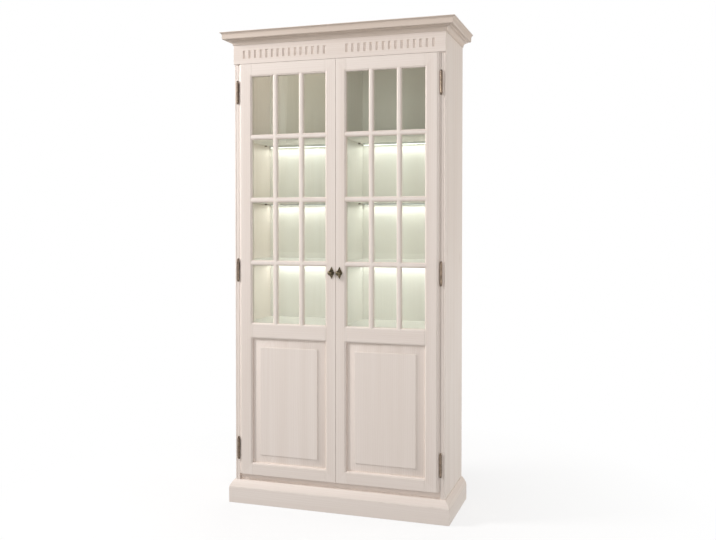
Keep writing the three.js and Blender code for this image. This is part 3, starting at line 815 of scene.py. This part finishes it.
def addLightBarFittings(nodeName):
    low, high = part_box(nodeName)
    wall, gap = lightBar["wall"], lightBar["stripGap"]
    strip = blockBetween(
        nodeName + "_diffuser",
        (low.x + gap, low.y + wall + gap, low.z),
        (high.x - gap, high.y - wall - gap, low.z + lightBar["stripThickness"]),
    )
    editOnly(strip)
    selectWhere(
        strip,
        "EDGE",
        lambda middle, run: abs(run.x) > 0.1 and middle.z < low.z + mm,
    )
    bpy.ops.mesh.bevel(offset=lightBar["diffuserRound"], segments=4, affect="EDGES")
    nothingSelected()
    smoothShading(strip)
    placeOnBody(strip, "cabinet", "white_plastic", finish["diffuser"])

    # the strip itself, and a wide soft one for the light that the shelf throws down
    hang = low.z - lightBar["lampGap"]
    stripPlace = (middleOf(low.x, high.x), middleOf(low.y, high.y), hang)
    stripSize = (high.x - low.x - 2 * lightBar["capThickness"], high.y - low.y - 2 * wall)
    addLamp(nodeName + "_strip_lamp", stripPlace, stripSize, lightBar["stripWatts"])
    depth = lightBar["spreadDepth"]
    spreadPlace = (stripPlace[0], low.y - depth / 2, low.z - lightBar["spreadDrop"])
    addLamp(nodeName + "_spread_lamp", spreadPlace, (stripSize[0], depth), lightBar["spreadWatts"])

    thickness = lightBar["capThickness"]
    caps = []
    for left, right in ((low.x - thickness, low.x), (high.x, high.x + thickness)):
        cap = blockBetween("cap", (left, low.y, low.z), (right, high.y, high.z))
        roundEdges(cap, lightBar["capEdge"])
        caps.append(cap)
    capPair = joinedPieces(nodeName + "_caps", caps)
    smoothShading(capPair)
    placeOnBody(capPair, "cabinet", "white_plastic", finish["plastic"])


for side in sides:
    for level in ("low", "middle", "top"):
        addLightBarFittings(f"light_bar_{side}_{level}")

# light that finds its way into the unlit top compartments
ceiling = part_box("top_board")[0].z
for side in sides:
    low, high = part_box(f"shelf_{side}_top")
    place = (middleOf(low.x, high.x), middleOf(low.y, high.y), ceiling - lightBar["spreadDrop"])
    size, watts = (high.x - low.x, high.y - low.y), lightBar["strayWatts"][side]
    addLamp(f"stray_light_{side}", place, size, watts, lightBar["strayColour"])
print("light bars ready")


# shelf pins under every loose shelf

shelfPin = {
    "radius": 2.5 * mm,
    "collarRadius": 4.2 * mm,
    "collarThickness": 0.8 * mm,
    "length": 9.0 * mm,
    "edge": 0.4 * mm,
    "fromFront": 42 * mm,
    "fromBack": 60 * mm,
    "steps": 20,
}


def shelfPinModel():
    # stands on the board's face and points along +Z
    pin, edge = shelfPin, shelfPin["edge"]
    profile = [
        (0, 0),
        (pin["collarRadius"], 0),
        (pin["collarRadius"], pin["collarThickness"] - edge),
        (pin["collarRadius"] - edge, pin["collarThickness"]),
        (pin["radius"], pin["collarThickness"]),
        (pin["radius"], pin["length"] - edge),
        (pin["radius"] - edge, pin["length"]),
        (0, pin["length"]),
    ]
    model = turnedPiece("shelfPinModel", profile, pin["steps"])
    smoothShading(model, 40)
    return model


pinModel = shelfPinModel()
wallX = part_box("side_panel_right")[0].x  # inner face of the side panel
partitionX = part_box("centre_partition")[1].x
for side, sign in sides.items():
    placings = []
    for level in ("low", "middle", "top", "base"):
        shelf = f"base_shelf_{side}" if level == "base" else f"shelf_{side}_{level}"
        low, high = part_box(shelf)
        pinZ = low.z - shelfPin["radius"]
        for pinY in (low.y + shelfPin["fromFront"], high.y - shelfPin["fromBack"]):
            for wall, towards in ((wallX, -1), (partitionX, 1)):
                turn = Matrix.Rotation(math.radians(90 * towards * sign), 4, "Y")
                placings.append(Matrix.Translation((wall * sign, pinY, pinZ)) @ turn)
    pins = repeated("shelf_pins_" + side, pinModel, placings)
    placeOnBody(pins, "cabinet", "antique_brass", finish["antiqueBrass"])
discard(pinModel)
print("shelf pins ready")


# slotted screws: in the hinges' leaves, the strike plates and the back

screw = {
    "headRadius": 2.8 * mm,
    "rise": 0.22 * mm,
    "sunk": 1.2 * mm,
    "domeRim": 0.9 * mm,
    "slotWidth": 0.8 * mm,
    "slotWall": 0.04 * mm,
    "slotDepth": 0.5 * mm,
    "sides": 24,
}


def screwModel():
    # its head's flat underside lies below 0 and its slightly domed top points along +Z
    depth = screw["sunk"] + screw["rise"]
    nothingSelected()
    bpy.ops.mesh.primitive_cylinder_add(
        vertices=screw["sides"],
        radius=screw["headRadius"],
        depth=depth,
        location=(0, 0, screw["rise"] - depth / 2),
    )
    model = bpy.context.object
    model.name = "screwModel"
    bpy.ops.object.transform_apply(location=True, rotation=True, scale=True)
    editOnly(model)
    selectWhere(model, "FACE", lambda middle, normal: normal.z < -0.9)
    bpy.ops.transform.resize(value=(0.5, 0.5, 1))  # the countersunk underside
    selectWhere(model, "FACE", lambda middle, normal: normal.z > 0.9)
    bpy.ops.transform.translate(value=(0, 0, -0.75 * screw["rise"]))
    bpy.ops.mesh.inset(thickness=screw["domeRim"], depth=0.6 * screw["rise"])
    for slotSide in (-1, 1):
        bpy.ops.mesh.select_all(action="SELECT")
        bpy.ops.mesh.bisect(plane_co=(0, slotSide * screw["slotWidth"] / 2, 0), plane_no=(0, 1, 0))
    selectWhere(
        model,
        "FACE",
        lambda middle, normal: normal.z > 0.5 and abs(middle.y) < screw["slotWidth"] / 4,
    )
    bpy.ops.mesh.inset(thickness=screw["slotWall"], depth=-screw["slotDepth"])
    nothingSelected()
    smoothShading(model, 40)
    return model


def facing(direction, spin=0):
    # turns a model's +Z to a direction, after a turn of its own about +Z in degrees
    aim = Vector(direction).to_track_quat("Z", "Y").to_matrix().to_4x4()
    return aim @ Matrix.Rotation(math.radians(spin), 4, "Z")


hingeScrews = {
    "leafGap": 0.3 * mm,  # from the wood's face down to the leaf
    "leafHeight": 36 * mm,
    "knuckleGap": 0.5 * mm,
    "spacing": 12.5 * mm,
    "stagger": 3.0 * mm,
    "slotTurn": 25,  # degrees, of the middle screw's slot
    "slotTurnStep": 50,  # degrees more for the next screw up
}


def leafPlacings(side, sign, kind):
    placings = []
    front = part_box("side_panel_" + side)[0].y
    for level in ("top", "middle", "bottom"):
        frameLow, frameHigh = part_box(f"hinge_frame_{side}_{level}")
        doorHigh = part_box(f"hinge_door_{side}_{level}")[1]
        hingeZ = middleOf(frameLow.z, doorHigh.z)
        if kind == "frame":
            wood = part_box("side_panel_right")[0].x + hingeScrews["leafGap"]
            rear, towards, upOrDown = frameHigh.y, -1, -1
            stagger = hingeScrews["stagger"]
        else:
            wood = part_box("door_right_hinge_stile")[1].x - hingeScrews["leafGap"]
            rear, towards, upOrDown = doorHigh.y, 1, 1
            stagger = hingeScrews["stagger"] / 2
        leafZ = hingeZ + upOrDown * (hingeScrews["knuckleGap"] + hingeScrews["leafHeight"] / 2)
        for row in (-1, 0, 1):
            placeY = middleOf(front, rear) + stagger * (1 if row == 0 else -1)
            place = (sign * wood, placeY, leafZ + row * hingeScrews["spacing"])
            slotTurn = hingeScrews["slotTurn"] + hingeScrews["slotTurnStep"] * row
            turn = facing((towards * sign, 0, 0), slotTurn)
            placings.append(Matrix.Translation(place) @ turn)
    return placings


screwHead = screwModel()
for side, sign in sides.items():
    for kind, body in (("frame", "cabinet"), ("door", "door_" + side)):
        screws = repeated(f"hinge_screws_{kind}_{side}", screwHead, leafPlacings(side, sign, kind))
        placeOnBody(screws, body, "antique_brass", finish["antiqueBrass"])
print("hinge screws ready")


# glazing beads that hold the glass from behind

bead = {
    "width": 7.6 * mm,
    "glassGap": 0.05 * mm,
    "sunk": 0.3 * mm,
    "round": 2.4 * mm,
    "edge": 0.3 * mm,
}


def addGlazingBeads(side):
    glassLow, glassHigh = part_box(f"door_{side}_glass")
    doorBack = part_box(f"door_{side}_top_rail")[1].y
    low = Vector((glassLow.x, glassHigh.y + bead["glassGap"], glassLow.z))
    high = Vector((glassHigh.x, doorBack - bead["sunk"], glassHigh.z))
    nothingSelected()
    bpy.ops.mesh.primitive_plane_add(size=1, rotation=(math.radians(90), 0, 0))
    beads = bpy.context.object
    beads.name = f"door_{side}_glazing_beads"
    bpy.ops.object.transform_apply(location=True, rotation=True, scale=True)
    editOnly(beads)
    bpy.ops.mesh.select_all(action="SELECT")
    bpy.ops.transform.resize(value=(high.x - low.x, 1, high.z - low.z))
    middle = middleOf(low, high)
    bpy.ops.transform.translate(value=(middle.x, high.y, middle.z))
    bpy.ops.mesh.inset(thickness=bead["width"], depth=0)
    bpy.ops.mesh.delete(type="FACE")
    bpy.ops.mesh.select_all(action="SELECT")
    bpy.ops.mesh.extrude_region_move(TRANSFORM_OT_translate={"value": (0, low.y - high.y, 0)})
    bpy.ops.mesh.select_all(action="SELECT")
    bpy.ops.mesh.normals_make_consistent(inside=False)
    innerX = (high.x - low.x) / 2 - bead["width"]
    innerZ = (high.z - low.z) / 2 - bead["width"]

    def innerRearEdge(place, run):
        offX, offZ = abs(place.x - middle.x), abs(place.z - middle.z)
        return place.y > high.y - 0.1 * mm and offX < innerX + mm and offZ < innerZ + mm

    selectWhere(beads, "EDGE", innerRearEdge)
    bpy.ops.mesh.bevel(offset=bead["round"], segments=4, affect="EDGES")
    nothingSelected()
    roundEdges(beads, bead["edge"])
    smoothShading(beads)
    placeOnBody(beads, "door_" + side, "white_pine", finish["pineUpright"])


for side in sides:
    addGlazingBeads(side)
print("glazing beads ready")


# strike plates on the doors, and the catch's steel poles that pull them

strike = {
    "fromMiddle": 4 * mm,
    "width": 24 * mm,
    "height": 15 * mm,
    "letIn": 1.0 * mm,
    "proud": 0.1 * mm,
    "fromTop": 1.5 * mm,
    "cornerRound": 2.5 * mm,
    "edge": 0.08 * mm,
    "screwInset": 5 * mm,
    "catchGap": 0.3 * mm,
    "poleHeights": (6 * mm, 15 * mm),
    "poleThickness": 1.6 * mm,
    "poleProud": 0.08 * mm,
    "poleDepth": 3 * mm,
    "poleEdge": 0.06 * mm,
}


def strikeSpan(sign):
    # where a door's plate and its half of the catch lie, from side to side
    near, far = strike["fromMiddle"], strike["fromMiddle"] + strike["width"]
    return sorted((sign * near, sign * far))


def addStrike(side, sign):
    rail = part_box(f"door_{side}_top_rail")[1]
    left, right = strikeSpan(sign)
    top = rail.z - strike["fromTop"]
    plate = blockBetween(
        "plate",
        (left, rail.y - strike["letIn"], top - strike["height"]),
        (right, rail.y + strike["proud"], top),
    )
    editOnly(plate)
    selectWhere(plate, "EDGE", lambda middle, run: abs(run.y) > 0.5 * mm)
    bpy.ops.mesh.bevel(offset=strike["cornerRound"], segments=4, affect="EDGES")
    nothingSelected()
    roundEdges(plate, strike["edge"])
    smoothShading(plate)
    headY = rail.y + strike["proud"] - screw["rise"]
    headZ = top - strike["height"] / 2
    heads = [
        Matrix.Translation((headX, headY, headZ)) @ facing((0, 1, 0), 20)
        for headX in (left + strike["screwInset"], right - strike["screwInset"])
    ]
    screws = repeated("screws", screwHead, heads)
    strikePlate = joinedPieces(f"door_{side}_strike_plate", [plate, screws])
    placeOnBody(strikePlate, "door_" + side, "light_bar_metal", finish["aluminium"])


def addCatchPoles():
    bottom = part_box("magnetic_catch")[0].z
    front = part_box("door_right_top_rail")[1].y + strike["catchGap"]
    poles = []
    for sign in sides.values():
        left, right = strikeSpan(sign)
        for rise in strike["poleHeights"]:
            lowest = (left, front - strike["poleProud"], bottom + rise)
            highest = (right, front + strike["poleDepth"], bottom + rise + strike["poleThickness"])
            poles.append(blockBetween("pole", lowest, highest))
    catchPoles = joinedPieces("catch_poles", poles)
    roundEdges(catchPoles, strike["poleEdge"])
    smoothShading(catchPoles)
    placeOnBody(catchPoles, "cabinet", "light_bar_metal", finish["aluminium"])


for side, sign in sides.items():
    addStrike(side, sign)
addCatchPoles()
print("catch and strike plates ready")


# the back, and the screws that hold it, sunk into it

backScrews = {
    "fromEdge": 14 * mm,
    "fromSeam": 9 * mm,
    "spacing": 190 * mm,
    "sunk": 0.5 * mm,
    "holeTopRadius": 3.8 * mm,
    "holeEndRadius": 1.32 * mm,
    "holeLength": 3.5 * mm,
    "holeOvershoot": 0.5 * mm,
    "seamWidth": 1.6 * mm,
    "seamDepth": 1.2 * mm,
    "edge": 0.6 * mm,
    "slotTurnStep": 37,  # degrees from one screw's slot to the next one's
}


def evenly(first, last, spacing):
    # values from first to last, about a spacing apart
    count = max(1, round((last - first) / spacing))
    return [first + (last - first) * step / count for step in range(count + 1)]


def backPlaces(low, high):
    inset = backScrews["fromEdge"]
    heights = evenly(low.z + inset, high.z - inset, backScrews["spacing"])
    columns = evenly(low.x + inset, high.x - inset, backScrews["spacing"])
    fromSeam = backScrews["fromSeam"]
    inner = [x for x in columns[1:-1] if abs(x) > inset]
    places = [(x, z) for z in heights for x in (low.x + inset, high.x - inset)]
    places += [(x, z) for z in heights for x in (-fromSeam, fromSeam)]
    places += [(x, z) for x in inner for z in (low.z + inset, high.z - inset)]
    return places


def addBack():
    # the back with a seam down its middle, where its two halves meet on the partition
    low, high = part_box("back_panel")
    back = blockBetween("back_panel_eased", low, high)
    editOnly(back)
    for seamX in (-backScrews["seamWidth"] / 2, 0, backScrews["seamWidth"] / 2):
        bpy.ops.mesh.select_all(action="SELECT")
        bpy.ops.mesh.bisect(plane_co=(seamX, 0, 0), plane_no=(1, 0, 0))
    selectWhere(
        back,
        "VERT",
        lambda place, normal: abs(place.x) < 0.1 * mm and place.y > high.y - mm,
    )
    bpy.ops.transform.translate(value=(0, -backScrews["seamDepth"], 0))
    nothingSelected()
    roundEdges(back, backScrews["edge"], 2, 35)

    places = backPlaces(low, high)
    nothingSelected()
    bpy.ops.mesh.primitive_cone_add(
        vertices=24,
        radius1=backScrews["holeEndRadius"],
        radius2=backScrews["holeTopRadius"],
        depth=backScrews["holeLength"],
        location=(0, 0, backScrews["holeOvershoot"] - backScrews["holeLength"] / 2),
    )
    hole = bpy.context.object
    bpy.ops.object.transform_apply(location=True, rotation=True, scale=True)
    sinkings = [Matrix.Translation((x, high.y, z)) @ facing((0, 1, 0)) for x, z in places]
    holes = repeated("holes", hole, sinkings)
    countersink = back.modifiers.new("countersunkHoles", "BOOLEAN")
    countersink.operation = "DIFFERENCE"
    countersink.solver = "EXACT"
    countersink.object = holes
    applyAll(back)
    discard(hole, holes)
    smoothShading(back, 30)
    placeOnBody(back, "cabinet", "white_inside", finish["insideUpright"])
    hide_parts("back_panel")

    headY = high.y - backScrews["sunk"]
    placings = []
    for number, (x, z) in enumerate(places):
        slotTurn = backScrews["slotTurnStep"] * number % 180
        placings.append(Matrix.Translation((x, headY, z)) @ facing((0, 1, 0), slotTurn))
    screws = repeated("back_screws", screwHead, placings)
    placeOnBody(screws, "cabinet", "antique_brass", finish["antiqueBrass"])


addBack()
discard(screwHead)
print("back ready")


# corner blocks glued under the cornice, in the tray above the top board

cornerBlock = {
    "leg": 34 * mm,
    "height": 36 * mm,
    "flat": 4 * mm,
    "gap": 0.2 * mm,
    "edge": 0.7 * mm,
}


def addCornerBlocks():
    boardLow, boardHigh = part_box("top_board")
    leg, gap = cornerBlock["leg"], cornerBlock["gap"]
    blocks = []
    for sign in sides.values():
        for wallY, inward in ((boardLow.y, 1), (boardHigh.y, -1)):
            cornerX = sign * (boardHigh.x - gap)
            xs = sorted((cornerX, cornerX - sign * leg))
            ys = sorted((wallY + inward * gap, wallY + inward * (gap + leg)))
            block = blockBetween(
                "block",
                (xs[0], ys[0], boardHigh.z + gap),
                (xs[1], ys[1], boardHigh.z + cornerBlock["height"]),
            )
            farX, farY = cornerX - sign * leg, wallY + inward * (gap + leg)
            editOnly(block)
            selectWhere(
                block,
                "EDGE",
                lambda middle, run: abs(middle.x - farX) < mm and abs(middle.y - farY) < mm,
            )
            bpy.ops.mesh.bevel(offset=leg - cornerBlock["flat"], segments=1, affect="EDGES")
            nothingSelected()
            blocks.append(block)
    corners = joinedPieces("corner_blocks", blocks)
    roundEdges(corners, cornerBlock["edge"])
    smoothShading(corners)
    placeOnBody(corners, "cabinet", "white_pine", finish["pineUpright"])


addCornerBlocks()
print("corner blocks ready")
